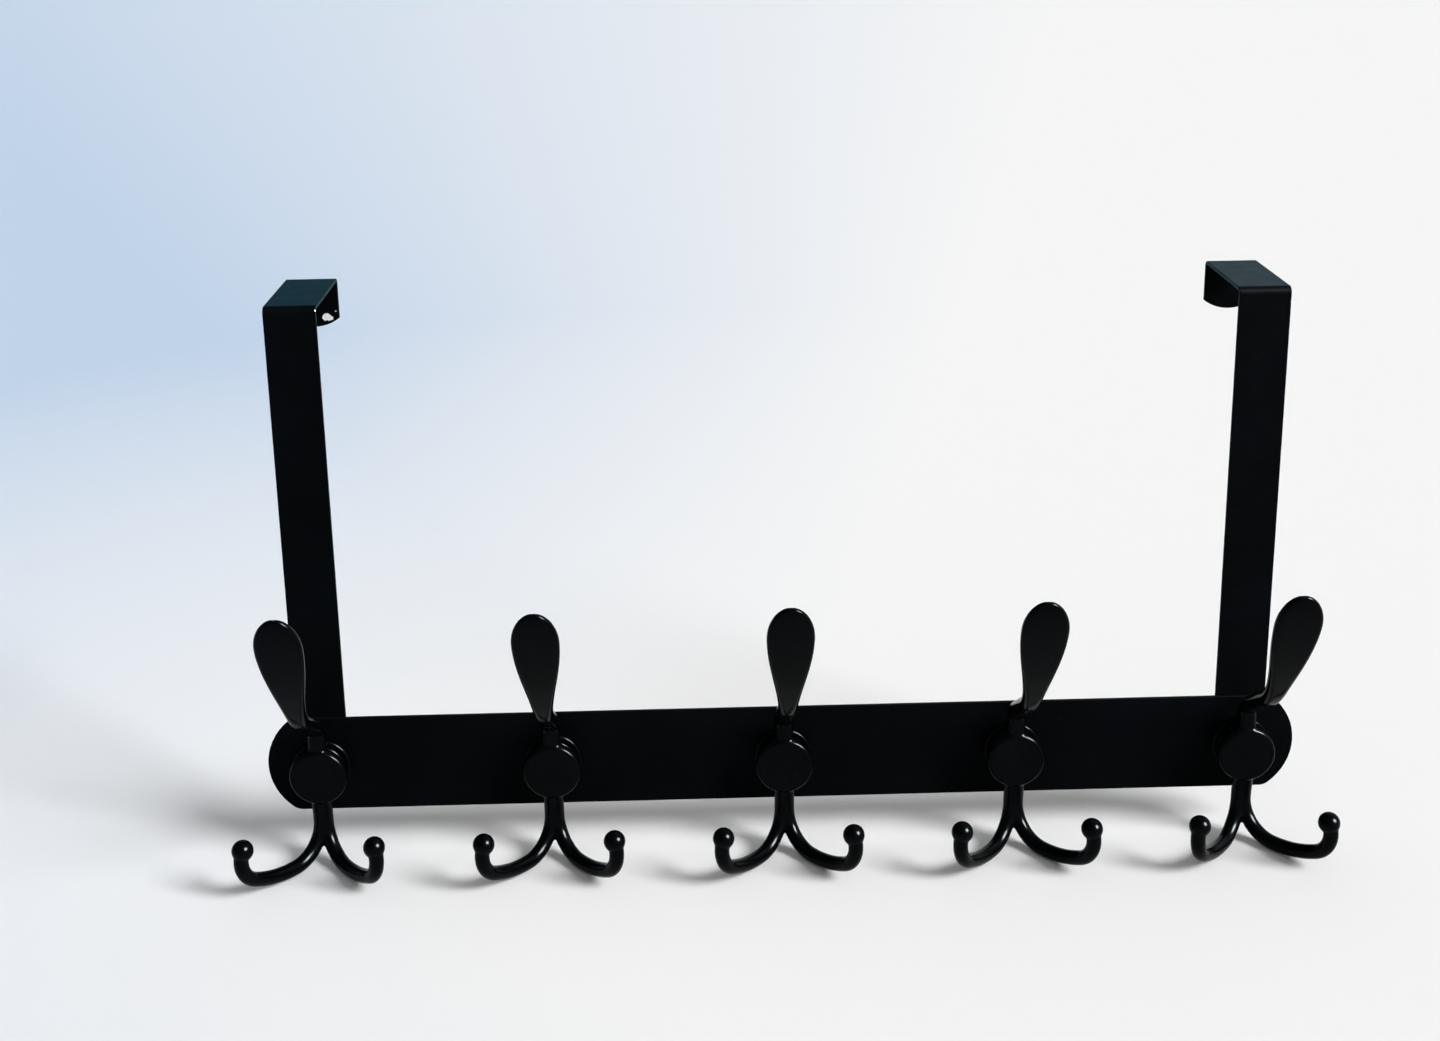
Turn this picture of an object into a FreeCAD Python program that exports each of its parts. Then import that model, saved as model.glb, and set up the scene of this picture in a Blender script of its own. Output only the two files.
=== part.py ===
import FreeCAD, Part
import math
import os

from FreeCAD import Vector

# Over-the-door rack: a flat steel rail with five cast triple hooks, held by two bent straps that
# hang over the top of a door. Millimetres, +Z up, the room side (hooks) faces -Y, the door is on +Y.
# While it is being modelled the rail's front face is the plane y = 0 and its centre line is z = 0;
# the last step moves everything so that the origin is the middle of the whole rack's box.

# Rail
RAIL_HEIGHT = 40.0
RAIL_THICKNESS = 1.5
RAIL_OVERHANG = 22.0        # from the outer hooks' axes to the rail's ends
RAIL_END_BULGE = 10.7       # rise of the arc at each end, flatter than a half circle
RAIL_CORNER_RADIUS = 6.0    # softens where the arc meets the long edges

# Straps
STRAP_WIDTH = 20.0
STRAP_THICKNESS = 1.5
STRAP_TOP = 189.0           # outer top face above the rail's centre line
STRAP_FOOT_INSET = 5.0      # the leg ends this far above the rail's lower edge
STRAP_BEND_RADIUS = 1.2     # inside the two bends
STRAP_END_BULGE = 3.5       # rise of the arc that finishes both ends of the strap
DOOR_GAP = 45.5             # clear depth for the door
FLANGE_LENGTH = 20.0        # flange behind the door, from the outer top face down
SHEET_EDGE_RADIUS = 0.3     # broken edges of the rail and the straps

# Hooks
HOOK_COUNT = 5
HOOK_PITCH = 92.5           # the outer two sit on the straps
BASE_DIAMETER = 23.4
BASE_THICKNESS = 3.0
BASE_EDGE_RADIUS = 1.0
WAIST_DIAMETER = 17.0
DISC_DIAMETER = 23.0
DISC_THICKNESS = 4.0
DISC_EDGE_RADIUS = 1.6
BOSS_HEIGHT = 12.5          # front face of the disc ahead of the rail
WAIST_FILLET = 1.0

# Stem and prongs below the disc
STEM_WIDTH = 8.0
STEM_TOP = 5.8              # the stem starts inside the disc, this far below the screw's axis
STEM_FACE_SETBACK = 0.2     # the stem leaves the disc this far behind the disc's face
STEM_STATIONS = 4
STEM_CORNER_SHARE = 0.49    # corner radius of the stem's section as a share of the rod's diameter
ROD_DIAMETER = 5.8
ROD_FACE_SETBACK = 2.2      # the prongs' roots lie this far behind the disc's face
PRONG_LOW = 35.2            # lowest point of the rod's axis below the rail's centre line
PRONG_TURN = 38.0           # degrees that each prong turns away from straight ahead
PRONG_DROP_RADIUS = 14.5    # from straight down to level
PRONG_RISE_RADIUS = 45.0    # slow rise
PRONG_RISE_ANGLE = 26.0
PRONG_TIP_RADIUS = 10.9     # tight curl up to the ball
PRONG_TIP_ANGLE = 91.0
BALL_DIAMETER = 8.5

# Upper hook
ARM_FACE_SETBACK = 0.7      # the neck leaves the disc this far behind the disc's face
ARM_ROOT_HEIGHT = 5.0       # where the arm's axis starts, inside the boss
ARM_RISE = 12.0             # straight up out of the boss
ARM_ROOT_RADIUS = 6.0       # bend forward
ARM_RUN_ANGLE = 32.0        # slope of the straight run above level
ARM_RUN = 28.4
ARM_BEND_RADIUS = 13.0      # bend up into the paddle
PADDLE_START_ANGLE = 52.5
PADDLE_CURVE_RADIUS = 147.0
PADDLE_END_ANGLE = 74.5
NECK_WIDTH = 7.5
NECK_THICKNESS = 6.2
PADDLE_WIDTH = 17.7
PADDLE_HEAD_LENGTH = 14.0   # from the tip down to the widest place
PADDLE_THICKNESS = 3.6
PADDLE_TAPER_LENGTH = 46.0  # from the widest place down to the neck
SECTION_CORNER_SHARE = 0.46  # corner radius of the arm's section as a share of its thickness
HEAD_END_ANGLE = 10.0       # the head's rounding is closed this near to its tip
HEAD_STATIONS = 6
ARM_STATIONS = 14

# Screws, from behind the rail into each boss
SCREW_DIAMETER = 5.0
SCREW_LENGTH = 8.0
SCREW_HEAD_DIAMETER = 10.0
SCREW_HEAD_HEIGHT = 2.4
SCREW_HEAD_ROUNDING = 1.5
RECESS_LENGTH = 5.0
RECESS_WIDTH = 1.1
RECESS_DEPTH = 1.3
THREAD_GAP = 0.05           # between the screw and its bore, on each side
HOLE_GAP = 0.25             # between the screw and its holes in the sheets, on each side
BORE_SPARE = 1.0            # the bore is this much deeper than the screw reaches
CUT_SPARE = 1.0             # cutting tools stand this far proud of what they cut

FORWARD = Vector(0, -1, 0)
UP = Vector(0, 0, 1)
X_AXIS = Vector(1, 0, 0)
ORIGIN = Vector(0, 0, 0)

ROD_AXIS_DEPTH = BOSS_HEIGHT - ROD_FACE_SETBACK - ROD_DIAMETER / 2.0
ARM_AXIS_DEPTH = BOSS_HEIGHT - ARM_FACE_SETBACK - NECK_THICKNESS / 2.0


def hook_places():
    """The x of each hook, from left to right."""
    first = -(HOOK_COUNT - 1) / 2.0 * HOOK_PITCH
    return [first + index * HOOK_PITCH for index in range(HOOK_COUNT)]


def strap_places():
    """The straps sit behind the two outer hooks."""
    places = hook_places()
    return {"left": places[0], "right": places[-1]}


def cylinder(radius, start, direction, length):
    """A round rod from a point along a direction."""
    return Part.makeCylinder(radius, length, start, direction)


def rail_corners(rail):
    """The four edges through the sheet, where the end arcs meet the long edges."""
    return [edge for edge in rail.Edges if edge.BoundBox.YLength > RAIL_THICKNESS / 2.0]


def rail_edges(rail):
    """The edges round the outline of both faces, without the screw holes."""
    sides = [face for face in rail.Faces if face.BoundBox.YLength < 0.001]
    return [edge for side in sides for edge in side.OuterWire.Edges]


def make_rail():
    """The flat bar with arc ends and a screw hole at each hook."""
    half_length = hook_places()[-1] + RAIL_OVERHANG
    half_height = RAIL_HEIGHT / 2.0
    corner = half_length - RAIL_END_BULGE
    top_left = Vector(-corner, 0, half_height)
    top_right = Vector(corner, 0, half_height)
    low_right = Vector(corner, 0, -half_height)
    low_left = Vector(-corner, 0, -half_height)
    outline = Part.Wire([
        Part.LineSegment(top_left, top_right).toShape(),
        Part.Arc(top_right, Vector(half_length, 0, 0), low_right).toShape(),
        Part.LineSegment(low_right, low_left).toShape(),
        Part.Arc(low_left, Vector(-half_length, 0, 0), top_left).toShape(),
    ])
    rail = Part.Face(outline).extrude(Vector(0, RAIL_THICKNESS, 0))
    rail = rail.makeFillet(RAIL_CORNER_RADIUS, rail_corners(rail))
    rail = rail.cut([screw_hole(place, RAIL_THICKNESS) for place in hook_places()])
    return rail.makeFillet(SHEET_EDGE_RADIUS, rail_edges(rail))


def screw_hole(place, depth):
    """The clearance hole through a sheet, from the rail's front face back."""
    radius = SCREW_DIAMETER / 2.0 + HOLE_GAP
    start = Vector(place, depth + CUT_SPARE, 0)
    return cylinder(radius, start, FORWARD, depth + 2.0 * CUT_SPARE)


def strap_slab(place, low, high, depth):
    """An upright slab of strap with its lower end finished as an arc; its front is at this depth."""
    half_width = STRAP_WIDTH / 2.0
    corner = low + STRAP_END_BULGE
    low_left = Vector(place - half_width, depth, corner)
    low_right = Vector(place + half_width, depth, corner)
    top_left = Vector(place - half_width, depth, high)
    top_right = Vector(place + half_width, depth, high)
    outline = Part.Wire([
        Part.Arc(low_left, Vector(place, depth, low), low_right).toShape(),
        Part.LineSegment(low_right, top_right).toShape(),
        Part.LineSegment(top_right, top_left).toShape(),
        Part.LineSegment(top_left, low_left).toShape(),
    ])
    return Part.Face(outline).extrude(Vector(0, STRAP_THICKNESS, 0))


def make_strap(place):
    """One strip: the leg behind the rail, the plate over the door and the flange behind it."""
    outer = STRAP_BEND_RADIUS + STRAP_THICKNESS
    front = RAIL_THICKNESS
    flange_depth = front + STRAP_THICKNESS + DOOR_GAP
    plate_start = front + outer
    plate_end = flange_depth + STRAP_THICKNESS - outer
    bend_height = STRAP_TOP - outer
    leg = strap_slab(place, STRAP_FOOT_INSET - RAIL_HEIGHT / 2.0, bend_height, front)
    flange = strap_slab(place, STRAP_TOP - FLANGE_LENGTH, bend_height, flange_depth)
    plate = Part.makeBox(
        STRAP_WIDTH, plate_end - plate_start, STRAP_THICKNESS,
        Vector(place - STRAP_WIDTH / 2.0, plate_start, STRAP_TOP - STRAP_THICKNESS))
    front_bend = strap_bend(place, plate_start, -outer)
    back_bend = strap_bend(place, plate_end, 0.0)
    strap = leg.fuse([flange, plate, front_bend, back_bend]).removeSplitter()
    strap = strap.makeFillet(SHEET_EDGE_RADIUS, outline_edges(strap, place))
    return strap.cut(screw_hole(place, front + STRAP_THICKNESS))


def strap_bend(place, depth, quarter_shift):
    """A quarter ring about an axis at this depth, that joins the plate to the leg or the flange."""
    outer = STRAP_BEND_RADIUS + STRAP_THICKNESS
    centre = Vector(place - STRAP_WIDTH / 2.0, depth, STRAP_TOP - outer)
    ring = cylinder(outer, centre, X_AXIS, STRAP_WIDTH)
    ring = ring.cut(cylinder(STRAP_BEND_RADIUS, centre, X_AXIS, STRAP_WIDTH))
    quarter = Part.makeBox(STRAP_WIDTH, outer, outer, centre + Vector(0, quarter_shift, 0))
    return ring.common(quarter)


def outline_edges(strap, place):
    """The edges along both sides and both ends of a strap, where its sheet was cut."""
    half_width = STRAP_WIDTH / 2.0
    edges = []
    for edge in strap.Edges:
        box = edge.BoundBox
        on_side = box.XLength < 0.001 and abs(abs(box.XMin - place) - half_width) < 0.001
        short = edge.Length < STRAP_THICKNESS + 0.001
        at_end = box.YLength < 0.001 and isinstance(edge.Curve, Part.Circle) and box.XLength > half_width
        if (on_side and not short) or at_end:
            edges.append(edge)
    return edges


def make_boss():
    """Base, waist and front disc of a hook, turned about the screw's axis."""
    base = cylinder(BASE_DIAMETER / 2.0, ORIGIN, FORWARD, BASE_THICKNESS)
    base = base.makeFillet(BASE_EDGE_RADIUS, edges_at_depth(base, -BASE_THICKNESS))
    disc_start = Vector(0, DISC_THICKNESS - BOSS_HEIGHT, 0)
    disc = cylinder(DISC_DIAMETER / 2.0, disc_start, FORWARD, DISC_THICKNESS)
    disc = disc.makeFillet(DISC_EDGE_RADIUS, edges_at_depth(disc, -BOSS_HEIGHT))
    waist = cylinder(WAIST_DIAMETER / 2.0, ORIGIN, FORWARD, BOSS_HEIGHT - DISC_THICKNESS / 2.0)
    boss = base.fuse([waist, disc]).removeSplitter()
    seams = [edge for edge in boss.Edges if is_waist_seam(edge)]
    return boss.makeFillet(WAIST_FILLET, seams)


def edges_at_depth(solid, depth):
    """The round edges of a turned solid in one plane across its axis."""
    return [
        edge for edge in solid.Edges
        if edge.BoundBox.YLength < 0.001 and abs(edge.BoundBox.YMin - depth) < 0.001
    ]


def is_waist_seam(edge):
    """The two inner corners where the waist meets the base and the disc."""
    if not isinstance(edge.Curve, Part.Circle):
        return False
    return abs(edge.Curve.Radius - WAIST_DIAMETER / 2.0) < 0.001


def rounded_section(centre, across, normal, width, thickness, corner):
    """A closed wire of four lines and four arcs, with rounded corners."""
    flat_across = width / 2.0 - corner
    flat_normal = thickness / 2.0 - corner
    diagonal = corner * math.sqrt(0.5)

    def point(along_across, along_normal):
        return centre + across * along_across + normal * along_normal

    edges = []
    turns = [(1, 1), (-1, 1), (-1, -1), (1, -1)]
    for index, (side, top) in enumerate(turns):
        next_side, next_top = turns[(index + 1) % 4]
        middle = point(side * (flat_across + diagonal), top * (flat_normal + diagonal))
        on_side = point(side * width / 2.0, top * flat_normal)
        on_top = point(side * flat_across, top * thickness / 2.0)
        next_on_side = point(next_side * width / 2.0, next_top * flat_normal)
        next_on_top = point(next_side * flat_across, next_top * thickness / 2.0)
        if side == top:
            edges.append(Part.Arc(on_side, middle, on_top).toShape())
            edges.append(Part.LineSegment(on_top, next_on_top).toShape())
        else:
            edges.append(Part.Arc(on_top, middle, on_side).toShape())
            edges.append(Part.LineSegment(on_side, next_on_side).toShape())
    return Part.Wire(edges)


def arm_point(distance):
    """Centre and heading of the upper hook's axis, at a distance from its root inside the boss."""
    depth = -ARM_AXIS_DEPTH
    height = ARM_ROOT_HEIGHT
    heading = math.radians(90.0)
    legs = [
        (ARM_RISE, None, 90.0),
        (None, ARM_ROOT_RADIUS, ARM_RUN_ANGLE),
        (ARM_RUN, None, ARM_RUN_ANGLE),
        (None, ARM_BEND_RADIUS, PADDLE_START_ANGLE),
        (None, PADDLE_CURVE_RADIUS, PADDLE_END_ANGLE),
    ]
    left = distance
    for straight, radius, end_angle in legs:
        end = math.radians(end_angle)
        if straight is not None:
            step = min(left, straight)
            depth -= step * math.cos(heading)
            height += step * math.sin(heading)
        else:
            step = min(left, radius * abs(end - heading))
            turn = math.copysign(step / radius, end - heading)
            new_heading = heading + turn
            sign = math.copysign(1.0, turn)
            depth -= sign * radius * (math.sin(new_heading) - math.sin(heading))
            height += sign * radius * (math.cos(heading) - math.cos(new_heading))
            heading = new_heading
        left -= step
        if left <= 0.0:
            break
    return Vector(0, depth, height), heading


def arm_length():
    """Length of the upper hook's axis, root to tip."""
    first_turn = math.radians(90.0 - ARM_RUN_ANGLE)
    second_turn = math.radians(PADDLE_START_ANGLE - ARM_RUN_ANGLE)
    third_turn = math.radians(PADDLE_END_ANGLE - PADDLE_START_ANGLE)
    straights = ARM_RISE + ARM_RUN
    return (straights + ARM_ROOT_RADIUS * first_turn + ARM_BEND_RADIUS * second_turn
            + PADDLE_CURVE_RADIUS * third_turn)


def ease(share):
    """A smooth step from 0 to 1."""
    share = max(0.0, min(1.0, share))
    return share * share * (3.0 - 2.0 * share)


def arm_section(from_tip, width, thickness):
    """The upper hook's section at a distance from its tip."""
    centre, heading = arm_point(arm_length() - from_tip)
    normal = Vector(0, -math.sin(heading), -math.cos(heading))
    corner = SECTION_CORNER_SHARE * min(thickness, width)
    return rounded_section(centre, X_AXIS, normal, width, thickness, corner)


def make_arm():
    """The upper hook: a neck that sweeps forward and up and widens to a thin round-ended paddle."""
    sections = []
    head = PADDLE_HEAD_LENGTH
    for index in range(HEAD_STATIONS):
        angle = math.radians(HEAD_END_ANGLE + (90.0 - HEAD_END_ANGLE) * index / HEAD_STATIONS)
        width = PADDLE_WIDTH * math.sin(angle)
        thickness = PADDLE_THICKNESS * math.sqrt(math.sin(angle))
        sections.append(arm_section(head * (1.0 - math.cos(angle)), width, thickness))
    rest = arm_length() - head
    for index in range(ARM_STATIONS + 1):
        from_tip = head + rest * index / ARM_STATIONS
        share = ease(1.0 - (from_tip - head) / PADDLE_TAPER_LENGTH)
        width = NECK_WIDTH + (PADDLE_WIDTH - NECK_WIDTH) * share
        thickness = NECK_THICKNESS + (PADDLE_THICKNESS - NECK_THICKNESS) * share
        sections.append(arm_section(from_tip, width, thickness))
    return Part.makeLoft(sections, True, False)


def prong_point(turn):
    """A direction level with the floor, turned from straight ahead towards one side."""
    angle = math.radians(turn)
    return Vector(math.sin(angle), -math.cos(angle), 0)


def make_prong(side):
    """One lower prong: down out of the stem, level, a slow rise and a tight curl to its ball."""
    outward = prong_point(side * PRONG_TURN)
    root_offset = side * (STEM_WIDTH - ROD_DIAMETER) / 2.0
    low = Vector(root_offset, -ROD_AXIS_DEPTH, -PRONG_LOW)

    def on_arc(centre, radius, degrees):
        angle = math.radians(degrees)
        return centre + outward * (radius * math.sin(angle)) - UP * (radius * math.cos(angle))

    drop_centre = low + outward * PRONG_DROP_RADIUS + UP * PRONG_DROP_RADIUS
    rise_centre = drop_centre + UP * (PRONG_RISE_RADIUS - PRONG_DROP_RADIUS)
    rise_end = on_arc(rise_centre, PRONG_RISE_RADIUS, PRONG_RISE_ANGLE)
    tip_centre = rise_end + (rise_centre - rise_end) * (PRONG_TIP_RADIUS / PRONG_RISE_RADIUS)
    curl = PRONG_RISE_ANGLE + PRONG_TIP_ANGLE
    start = on_arc(drop_centre, PRONG_DROP_RADIUS, -90.0)
    tip = on_arc(tip_centre, PRONG_TIP_RADIUS, curl)
    path = Part.Wire([
        Part.Arc(start, on_arc(drop_centre, PRONG_DROP_RADIUS, -45.0),
                 on_arc(drop_centre, PRONG_DROP_RADIUS, 0.0)).toShape(),
        Part.Arc(on_arc(rise_centre, PRONG_RISE_RADIUS, 0.0),
                 on_arc(rise_centre, PRONG_RISE_RADIUS, PRONG_RISE_ANGLE / 2.0), rise_end).toShape(),
        Part.Arc(rise_end, on_arc(tip_centre, PRONG_TIP_RADIUS, curl - PRONG_TIP_ANGLE / 2.0),
                 tip).toShape(),
    ])
    profile = Part.Wire([Part.makeCircle(ROD_DIAMETER / 2.0, start, UP)])
    rod = path.makePipeShell([profile], True, True)
    ball = Part.makeSphere(BALL_DIAMETER / 2.0, tip)
    return rod.fuse(ball)


def make_stem():
    """The bar from the disc's lower edge to the two prongs."""
    low = PRONG_DROP_RADIUS - PRONG_LOW
    front = BOSS_HEIGHT - STEM_FACE_SETBACK
    low_front = ROD_AXIS_DEPTH + ROD_DIAMETER / 2.0
    back = ROD_AXIS_DEPTH - ROD_DIAMETER / 2.0
    corner = STEM_CORNER_SHARE * ROD_DIAMETER
    sections = []
    for index in range(STEM_STATIONS):
        share = index / (STEM_STATIONS - 1.0)
        height = -STEM_TOP + (low + STEM_TOP) * share
        section_front = front + (low_front - front) * ease(share)
        centre = Vector(0, -(section_front + back) / 2.0, height)
        depth = section_front - back
        sections.append(rounded_section(centre, X_AXIS, FORWARD, STEM_WIDTH, depth, corner))
    return Part.makeLoft(sections, True, False)


def make_hook(place):
    """One casting: boss, stem with two balled prongs and the upper paddle, with a blind bore."""
    hook = make_boss().fuse([make_stem(), make_arm(), make_prong(-1), make_prong(1)])
    hook = hook.removeSplitter()
    reach = SCREW_LENGTH - RAIL_THICKNESS + BORE_SPARE
    bore_radius = SCREW_DIAMETER / 2.0 + THREAD_GAP
    bore = cylinder(bore_radius, Vector(0, CUT_SPARE, 0), FORWARD, reach + CUT_SPARE)
    hook = hook.cut(bore)
    hook.translate(Vector(place, 0, 0))
    return hook


def make_screw(place, seat):
    """A cross-head screw whose head sits on the back of a sheet at this depth."""
    shank = cylinder(SCREW_DIAMETER / 2.0, Vector(0, seat, 0), FORWARD, SCREW_LENGTH)
    head = cylinder(SCREW_HEAD_DIAMETER / 2.0, Vector(0, seat, 0), -FORWARD, SCREW_HEAD_HEIGHT)
    head = head.makeFillet(SCREW_HEAD_ROUNDING, edges_at_depth(head, seat + SCREW_HEAD_HEIGHT))
    screw = shank.fuse(head).removeSplitter()
    floor = seat + SCREW_HEAD_HEIGHT - RECESS_DEPTH
    for across, tall in ((RECESS_LENGTH, RECESS_WIDTH), (RECESS_WIDTH, RECESS_LENGTH)):
        corner = Vector(-across / 2.0, floor, -tall / 2.0)
        screw = screw.cut(Part.makeBox(across, RECESS_DEPTH + CUT_SPARE, tall, corner))
    screw.translate(Vector(place, 0, 0))
    return screw


def make_nodes():
    """Every piece by its name."""
    nodes = {"rail": make_rail()}
    for side, place in strap_places().items():
        nodes["strap_" + side] = make_strap(place)
    straps = strap_places().values()
    for number, place in enumerate(hook_places(), start=1):
        nodes["hook_%d" % number] = make_hook(place)
        seat = RAIL_THICKNESS + (STRAP_THICKNESS if place in straps else 0.0)
        nodes["hook_screw_%d" % number] = make_screw(place, seat)
    return nodes


def centre_of(nodes):
    """The middle of the whole rack's box."""
    box = Part.makeCompound(list(nodes.values())).optimalBoundingBox(False, False)
    return Vector(box.Center)


def main():
    os.makedirs("parts", exist_ok=True)
    nodes = make_nodes()
    centre = centre_of(nodes)
    for name, shape in nodes.items():
        shape.translate(-centre)
        shape.exportStep("parts/%s.step" % name)
    print("centre of the box before the move", centre)


main()
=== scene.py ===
import math

import bpy
from mathutils import Matrix, Vector


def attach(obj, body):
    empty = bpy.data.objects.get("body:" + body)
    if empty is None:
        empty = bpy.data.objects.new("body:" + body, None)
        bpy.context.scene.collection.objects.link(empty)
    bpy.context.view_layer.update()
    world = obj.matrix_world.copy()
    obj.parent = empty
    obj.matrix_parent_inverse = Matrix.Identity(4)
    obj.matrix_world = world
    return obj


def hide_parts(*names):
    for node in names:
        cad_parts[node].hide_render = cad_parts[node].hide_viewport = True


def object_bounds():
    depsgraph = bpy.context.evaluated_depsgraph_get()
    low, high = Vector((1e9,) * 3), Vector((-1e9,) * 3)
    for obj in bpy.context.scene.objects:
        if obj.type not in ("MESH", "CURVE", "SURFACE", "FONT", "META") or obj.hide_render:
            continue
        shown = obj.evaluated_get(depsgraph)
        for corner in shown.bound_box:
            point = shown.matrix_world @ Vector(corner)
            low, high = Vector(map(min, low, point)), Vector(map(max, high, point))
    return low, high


# An over-the-door rack of five cast hooks, dressed over its own solids. Metres, +Z up; the hooks
# point to -Y. The rail, the straps and the screws keep their solids and get a finish; each hook is
# replaced by a smoother copy of itself, whose junctions are blended as in a painted casting.

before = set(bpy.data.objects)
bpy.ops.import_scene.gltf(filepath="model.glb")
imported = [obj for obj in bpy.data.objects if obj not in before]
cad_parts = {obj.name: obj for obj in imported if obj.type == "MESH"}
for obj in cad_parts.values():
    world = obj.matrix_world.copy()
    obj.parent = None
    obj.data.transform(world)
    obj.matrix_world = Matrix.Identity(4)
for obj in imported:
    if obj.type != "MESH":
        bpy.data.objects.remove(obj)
CAD_LOW, CAD_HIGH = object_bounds()

HOOKS = [name for name in sorted(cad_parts) if name.startswith("hook_") and "screw" not in name]
SCREWS = [name for name in sorted(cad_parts) if name.startswith("hook_screw_")]
STRAPS = ["strap_left", "strap_right"]

# Casting: size of the skin's mesh and how far its inner corners are softened
SKIN_VOXEL = 0.00042
SKIN_SMOOTHING = 0.5
SKIN_SMOOTHING_STEPS = 6

# Photograph's view
CAMERA_PLACE = (-0.0363, -0.6794, 0.2843)
CAMERA_PITCH = 15.43
CAMERA_YAW = 1.12
CAMERA_ROLL = -0.90
CAMERA_LENS_MM = 46.94
CAMERA_SENSOR_MM = 36.0
CAMERA_SHIFT_Y = -0.12

# Room: pale all round, a little bluer to the left and deep blue high on the left, with one soft window at
# the right;
# the floor has painted shade, greyer in front of the rack and bluer to the left far off
PALE_WHITE = (0.90, 0.90, 0.90)
PALE_BLUE = (0.52, 0.64, 0.80)
HIGH_WHITE = (1.0, 1.0, 1.0)
HIGH_BLUE = (0.10, 0.20, 0.30)
# Painted shade: the floor's colour in front of the rack
FRONT_PAINTED_SHADE = (0.58, 0.59, 0.61)
ROOM_LIGHT = 0.37
WINDOW_FROM = (0.702, -0.420, 0.575)
WINDOW_LIGHT = 3.55
WINDOW_ANGLE = 24.0
GLINT_LIGHT = 38.0
GLINT_ANGLE = 28.0

FLOOR_SIZE = 60.0

# Where the tones of the room change: parts of a direction's unit vector, or metres on the floor
LOW_TONE_X = (-0.45, 0.22)
HIGH_TONE_X = (-0.12, 0.26)
HIGH_TONE_Z = (0.03, 0.15)
FLOOR_TONE_DISTANCE = (0.12, 0.9)
# Where the painted shade on the floor in front of the rack begins and ends, in metres along y
FRONT_PAINTED_SHADE_Y = (-0.45, -0.16)

# Paint: linear colours, and the share of the usual reflection that a deep black keeps
RAIL_BLACK = ((0.0006, 0.0009, 0.0013), (0.0012, 0.0018, 0.0026))
RAIL_ROUGHNESS = (0.38, 0.46)
RAIL_REFLECTION = 0.014
RAIL_SKIN_DEPTH = 0.000010
HOOK_BLACK = ((0.0005, 0.0007, 0.0009), (0.0010, 0.0014, 0.0017))
HOOK_ROUGHNESS = (0.14, 0.20)
HOOK_REFLECTION = 0.036
HOOK_REFLECTION_TINT = (0.82, 0.96, 1.0)
HOOK_SKIN_DEPTH = 0.000008
DUST_GREY = (0.04, 0.04, 0.04)
DUST_SHARE = 0.25
# Colour and metallic share of the small near-white spots on the straps
PALE_SPOT_WHITE = (0.92, 0.92, 0.90)
PALE_SPOT_METALLIC = 0.4
BLOOM_WEIGHT = 0.20
BLOOM_ROUGHNESS = 0.30
BLOOM_TINT = (0.10, 0.70, 1.0)

# Screws
ZINC = ((0.46, 0.47, 0.48), (0.60, 0.61, 0.61))
ZINC_ROUGHNESS = (0.28, 0.42)

# Small near-white spots on the straps, a little sunken and partly metallic: centre, radius along x, radius
# along z
FLANGE_PALE_SPOT = ((-0.1800, 0.0560, 0.0976), 0.0017, 0.0016)
FLANGE_PALE_SPOT_TAIL = ((-0.1787, 0.0560, 0.0970), 0.0014, 0.0009)
FLANGE_SPECK = ((-0.1762, 0.0560, 0.0999), 0.0003, 0.0002)
LEFT_CORNER_PALE_SPOT = ((-0.1750, 0.0091, 0.1122), 0.0003, 0.0006)
RIGHT_CORNER_PALE_SPOT = ((0.1951, 0.0091, 0.1076), 0.0003, 0.0008)


class Nodes:
    """A small helper round the node tree of a material or of the world."""

    def __init__(self, owner):
        owner.use_nodes = True
        self.owner = owner
        self.tree = owner.node_tree
        self.shader = self.tree.nodes.get("Principled BSDF")

    def add(self, kind, **values):
        node = self.tree.nodes.new(kind)
        for key, value in values.items():
            setattr(node, key, value)
        return node

    def link(self, source, target):
        self.tree.links.new(source, target)

    def math(self, operation, first, second, third=None):
        node = self.add("ShaderNodeMath", operation=operation)
        for socket, value in zip(node.inputs, (first, second, third)):
            if value is None:
                continue
            if isinstance(value, (int, float)):
                socket.default_value = value
            else:
                self.link(value, socket)
        return node.outputs[0]

    def place(self):
        return self.add("ShaderNodeTexCoord").outputs["Object"]

    def noise(self, scale, detail=2.0, roughness=0.5):
        node = self.add("ShaderNodeTexNoise")
        node.inputs["Scale"].default_value = scale
        node.inputs["Detail"].default_value = detail
        node.inputs["Roughness"].default_value = roughness
        self.link(self.place(), node.inputs["Vector"])
        return node.outputs["Fac"]

    def parts(self, vector):
        node = self.add("ShaderNodeSeparateXYZ")
        self.link(vector, node.inputs[0])
        return node.outputs

    def span(self, value, low, high, to_low=0.0, to_high=1.0):
        node = self.add("ShaderNodeMapRange", clamp=True)
        limits = {"From Min": low, "From Max": high, "To Min": to_low, "To Max": to_high}
        for key, number in limits.items():
            node.inputs[key].default_value = number
        self.link(value, node.inputs["Value"])
        return node.outputs["Result"]

    def mix(self, share, first, second):
        node = self.add("ShaderNodeMix", data_type="RGBA")
        self.link(share, node.inputs["Factor"])
        for socket, value in ((node.inputs["A"], first), (node.inputs["B"], second)):
            if isinstance(value, tuple):
                socket.default_value = (*value, 1.0)
            else:
                self.link(value, socket)
        return node.outputs["Result"]

    def mottle(self, scale, detail, colours):
        """A slow, soft change between two colours."""
        return self.mix(self.span(self.noise(scale, detail), 0.35, 0.7), *colours)

    def dust(self, scale, colour):
        """A colour with sparse grey specks over it."""
        specks = self.span(self.noise(scale, 1.0), 0.80, 0.84, 0.0, DUST_SHARE)
        return self.mix(specks, colour, DUST_GREY)

    def bump(self, height, distance):
        node = self.add("ShaderNodeBump")
        node.inputs["Strength"].default_value = 1.0
        node.inputs["Distance"].default_value = distance
        self.link(height, node.inputs["Height"])
        self.link(node.outputs["Normal"], self.shader.inputs["Normal"])


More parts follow.
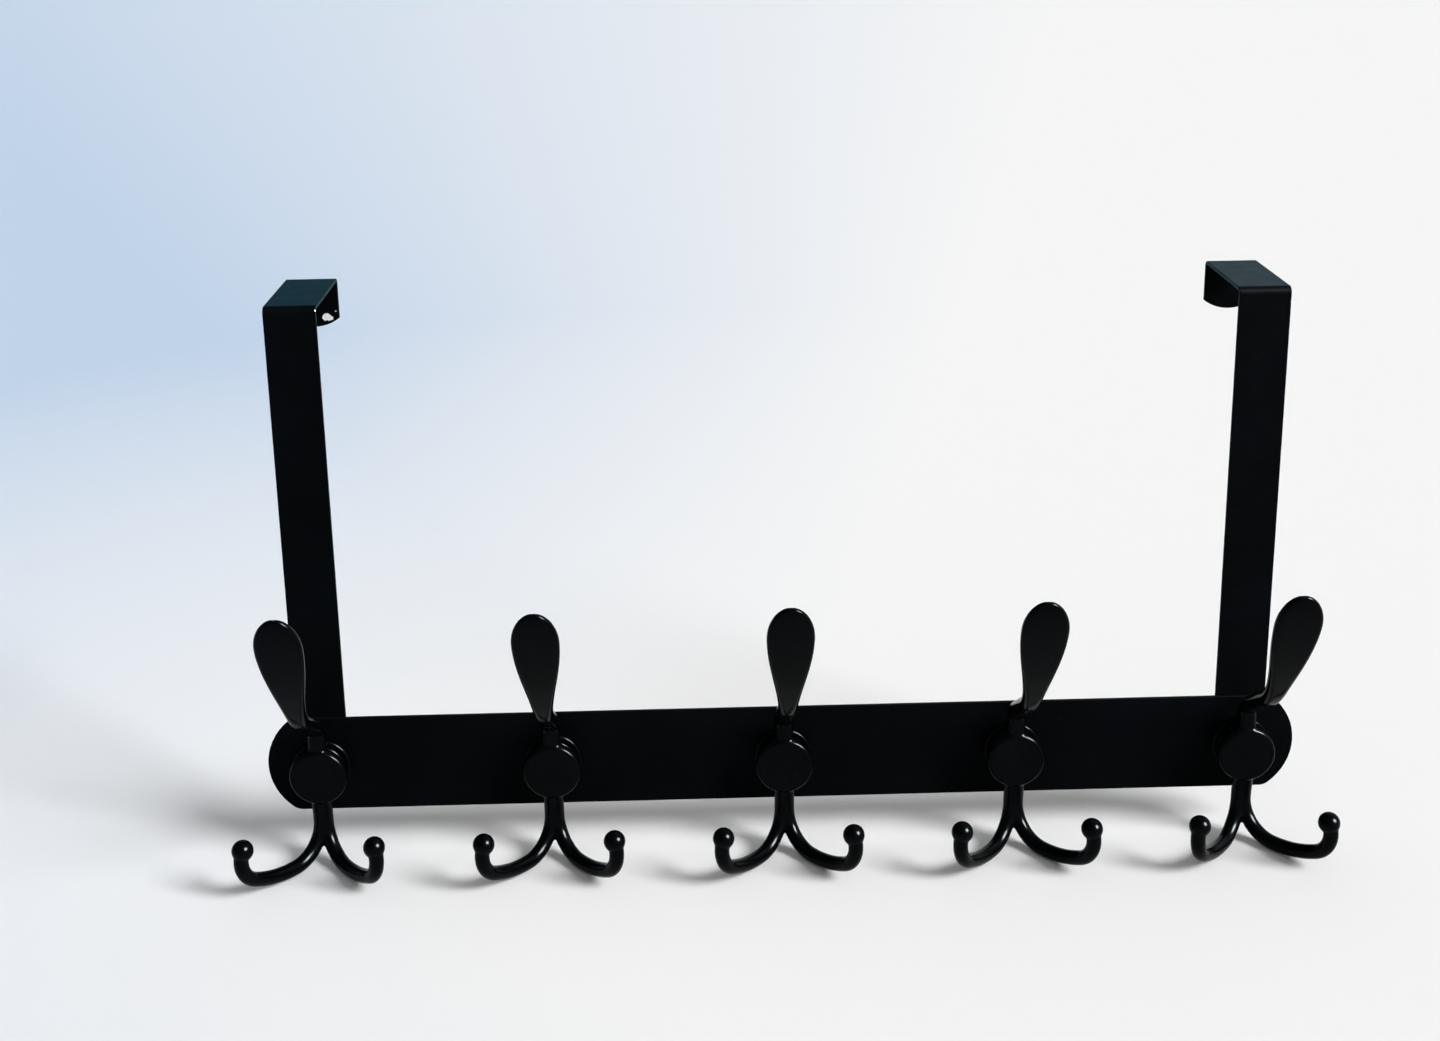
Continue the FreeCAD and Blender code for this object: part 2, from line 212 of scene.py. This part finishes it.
def spot(nodes, centre, radius_x, radius_z):
    """A mask of 1 inside a ragged oval spot on the surface, and 0 outside."""
    offset = nodes.add("ShaderNodeVectorMath", operation="SUBTRACT")
    nodes.link(nodes.place(), offset.inputs[0])
    offset.inputs[1].default_value = centre
    scaled = nodes.add("ShaderNodeVectorMath", operation="MULTIPLY")
    nodes.link(offset.outputs[0], scaled.inputs[0])
    scaled.inputs[1].default_value = (1.0 / radius_x, 1.0 / radius_x, 1.0 / radius_z)
    length = nodes.add("ShaderNodeVectorMath", operation="LENGTH")
    nodes.link(scaled.outputs[0], length.inputs[0])
    ragged = nodes.math("MULTIPLY_ADD", nodes.noise(1400.0, 3.0), 0.9, length.outputs["Value"])
    return nodes.span(ragged, 1.35, 1.45, 1.0, 0.0)


def set_bloom(shader):
    """The blue-green cast that black paint takes where it is seen at a slant."""
    shader.inputs["Sheen Weight"].default_value = BLOOM_WEIGHT
    shader.inputs["Sheen Roughness"].default_value = BLOOM_ROUGHNESS
    shader.inputs["Sheen Tint"].default_value = (*BLOOM_TINT, 1.0)


def powder_coat(name, pale_spots=()):
    """Satin black powder coat with a fine orange-peel skin, dust, and small near-white spots that are a
    little sunken and partly metallic.
    """
    nodes = Nodes(bpy.data.materials.new(name))
    shader = nodes.shader
    coat = nodes.dust(620.0, nodes.mottle(26.0, 4.0, RAIL_BLACK))
    rough = nodes.span(nodes.noise(140.0, 5.0, 0.6), 0.3, 0.7, *RAIL_ROUGHNESS)
    height = nodes.noise(1500.0, 2.0)
    # Small near-white spots, a little sunken, smoother and partly metallic
    if pale_spots:
        pale_spot_mask = None
        for centre, radius_x, radius_z in pale_spots:
            mask = spot(nodes, centre, radius_x, radius_z)
            pale_spot_mask = mask if pale_spot_mask is None else nodes.math("MAXIMUM", pale_spot_mask, mask)
        coat = nodes.mix(pale_spot_mask, coat, PALE_SPOT_WHITE)
        rough = nodes.math("MULTIPLY_ADD", pale_spot_mask, -0.06, rough)
        height = nodes.math("MULTIPLY_ADD", pale_spot_mask, -6.0, height)
        nodes.link(nodes.math("MULTIPLY", pale_spot_mask, PALE_SPOT_METALLIC), shader.inputs["Metallic"])
    nodes.link(coat, shader.inputs["Base Color"])
    nodes.link(rough, shader.inputs["Roughness"])
    shader.inputs["Specular IOR Level"].default_value = RAIL_REFLECTION
    set_bloom(shader)
    nodes.bump(height, RAIL_SKIN_DEPTH)
    return nodes.owner


def hook_paint(name):
    """Semi-gloss black paint over a casting, with a faint waviness."""
    nodes = Nodes(bpy.data.materials.new(name))
    shader = nodes.shader
    nodes.link(nodes.dust(700.0, nodes.mottle(40.0, 3.0, HOOK_BLACK)), shader.inputs["Base Color"])
    nodes.link(nodes.span(nodes.noise(180.0, 4.0, 0.6), 0.3, 0.7, *HOOK_ROUGHNESS),
               shader.inputs["Roughness"])
    shader.inputs["Specular IOR Level"].default_value = HOOK_REFLECTION
    shader.inputs["Specular Tint"].default_value = (*HOOK_REFLECTION_TINT, 1.0)
    nodes.bump(nodes.noise(240.0, 1.0), HOOK_SKIN_DEPTH)
    return nodes.owner


def zinc(name):
    """Zinc-plated steel for the screws behind the rail."""
    nodes = Nodes(bpy.data.materials.new(name))
    shader = nodes.shader
    nodes.link(nodes.mix(nodes.span(nodes.noise(500.0, 3.0), 0.3, 0.7), *ZINC), shader.inputs["Base Color"])
    shader.inputs["Metallic"].default_value = 1.0
    nodes.link(nodes.span(nodes.noise(900.0, 3.0), 0.3, 0.7, *ZINC_ROUGHNESS), shader.inputs["Roughness"])
    return nodes.owner


def dress(node, material):
    """Gives a node's own solid a finish."""
    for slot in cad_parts[node].material_slots:
        slot.material = material


def cast_skin(node, material):
    """A smoother copy of a hook, with its inner corners softened, that stands for the node."""
    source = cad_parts[node]
    piece = bpy.data.objects.new(node + "_casting", source.data.copy())
    bpy.context.scene.collection.objects.link(piece)
    remesh = piece.modifiers.new("skin", "REMESH")
    remesh.mode = "VOXEL"
    remesh.voxel_size = SKIN_VOXEL
    smooth = piece.modifiers.new("soften", "SMOOTH")
    smooth.factor = SKIN_SMOOTHING
    smooth.iterations = SKIN_SMOOTHING_STEPS
    bpy.context.view_layer.update()
    seen = piece.evaluated_get(bpy.context.evaluated_depsgraph_get())
    mesh = bpy.data.meshes.new_from_object(seen)
    piece.modifiers.clear()
    piece.data = mesh
    mesh.materials.clear()
    mesh.materials.append(material)
    mesh.shade_smooth()
    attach(piece, "root")
    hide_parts(node)


def room_tone(nodes, direction):
    """Colour of the surroundings in a direction: bluer to the left, and deeper high up there."""
    parts = nodes.parts(direction)
    low = nodes.mix(nodes.span(parts["X"], *LOW_TONE_X), PALE_BLUE, PALE_WHITE)
    high = nodes.mix(nodes.span(parts["X"], *HIGH_TONE_X), HIGH_BLUE, HIGH_WHITE)
    return nodes.mix(nodes.span(parts["Z"], *HIGH_TONE_Z), low, high)


def make_floor():
    """A pale floor under the lowest prongs, with painted shade: greyer in front of the rack and bluer to
    the left far off.
    """
    bpy.ops.mesh.primitive_plane_add(size=FLOOR_SIZE, location=(0.0, 0.0, CAD_LOW.z))
    floor = bpy.context.object
    floor.name = "floor"
    nodes = Nodes(bpy.data.materials.new("floor_pale"))
    direction = nodes.add("ShaderNodeVectorMath", operation="NORMALIZE")
    nodes.link(nodes.place(), direction.inputs[0])
    distance = nodes.add("ShaderNodeVectorMath", operation="LENGTH")
    nodes.link(nodes.place(), distance.inputs[0])
    # Painted shade: far off, the floor takes the room's tones, bluer to the left
    far = nodes.span(distance.outputs["Value"], *FLOOR_TONE_DISTANCE)
    tone = nodes.mix(far, PALE_WHITE, room_tone(nodes, direction.outputs[0]))
    # Painted shade: the floor is greyer in front of the rack, which the black paint reflects
    tone = nodes.mix(nodes.span(nodes.parts(nodes.place())["Y"], *FRONT_PAINTED_SHADE_Y), FRONT_PAINTED_SHADE, tone)
    nodes.link(tone, nodes.shader.inputs["Base Color"])
    nodes.shader.inputs["Roughness"].default_value = 0.8
    nodes.shader.inputs["Specular IOR Level"].default_value = 0.0
    floor.data.materials.append(nodes.owner)


def make_world():
    """Even white light from all round, which the camera and reflections see in the room's tones."""
    nodes = Nodes(bpy.data.worlds.new("room"))
    shown = nodes.tree.nodes["Background"]
    nodes.link(room_tone(nodes, nodes.add("ShaderNodeTexCoord").outputs["Generated"]),
               shown.inputs["Color"])
    light = nodes.add("ShaderNodeBackground")
    light.inputs["Color"].default_value = (1.0, 1.0, 1.0, 1.0)
    light.inputs["Strength"].default_value = ROOM_LIGHT
    rays = nodes.add("ShaderNodeLightPath")
    seen = nodes.math("MAXIMUM", rays.outputs["Is Camera Ray"], rays.outputs["Is Glossy Ray"])
    choice = nodes.add("ShaderNodeMixShader")
    nodes.link(seen, choice.inputs[0])
    nodes.link(light.outputs[0], choice.inputs[1])
    nodes.link(shown.outputs[0], choice.inputs[2])
    nodes.link(choice.outputs[0], nodes.tree.nodes["World Output"].inputs["Surface"])
    bpy.context.scene.world = nodes.owner


def make_window(name, strength, angle):
    """Key light from the window at the right."""
    data = bpy.data.lights.new(name, "SUN")
    data.energy = strength
    data.angle = math.radians(angle)
    lamp = bpy.data.objects.new(name, data)
    lamp.rotation_mode = "QUATERNION"
    lamp.rotation_quaternion = Vector(WINDOW_FROM).to_track_quat("Z", "Y")
    bpy.context.scene.collection.objects.link(lamp)
    return lamp


def make_camera():
    """The photograph's view of the rack."""
    data = bpy.data.cameras.new("camera")
    data.lens = CAMERA_LENS_MM
    data.sensor_width = CAMERA_SENSOR_MM
    data.shift_y = CAMERA_SHIFT_Y
    camera = bpy.data.objects.new("camera", data)
    bpy.context.scene.collection.objects.link(camera)
    heading = Matrix.Rotation(-math.radians(CAMERA_YAW), 4, "Z")
    tilt = Matrix.Rotation(math.radians(90.0 - CAMERA_PITCH), 4, "X")
    roll = Matrix.Rotation(math.radians(CAMERA_ROLL), 4, "Z")
    camera.matrix_world = Matrix.Translation(CAMERA_PLACE) @ heading @ tilt @ roll
    bpy.context.scene.camera = camera


rail_finish = powder_coat("rail_powder_coat")
strap_finish = powder_coat(
    "strap_powder_coat",
    (FLANGE_PALE_SPOT, FLANGE_PALE_SPOT_TAIL, FLANGE_SPECK, LEFT_CORNER_PALE_SPOT, RIGHT_CORNER_PALE_SPOT))
casting_finish = hook_paint("hook_black_paint")
screw_finish = zinc("screw_zinc")

dress("rail", rail_finish)
for name in STRAPS:
    dress(name, strap_finish)
for name in SCREWS:
    dress(name, screw_finish)
for name in HOOKS:
    cast_skin(name, casting_finish)

make_floor()
make_world()
make_window("window", WINDOW_LIGHT, WINDOW_ANGLE)
make_window("window_glint", GLINT_LIGHT, GLINT_ANGLE).visible_diffuse = False
make_camera()

bpy.context.scene.view_settings.view_transform = "Standard"
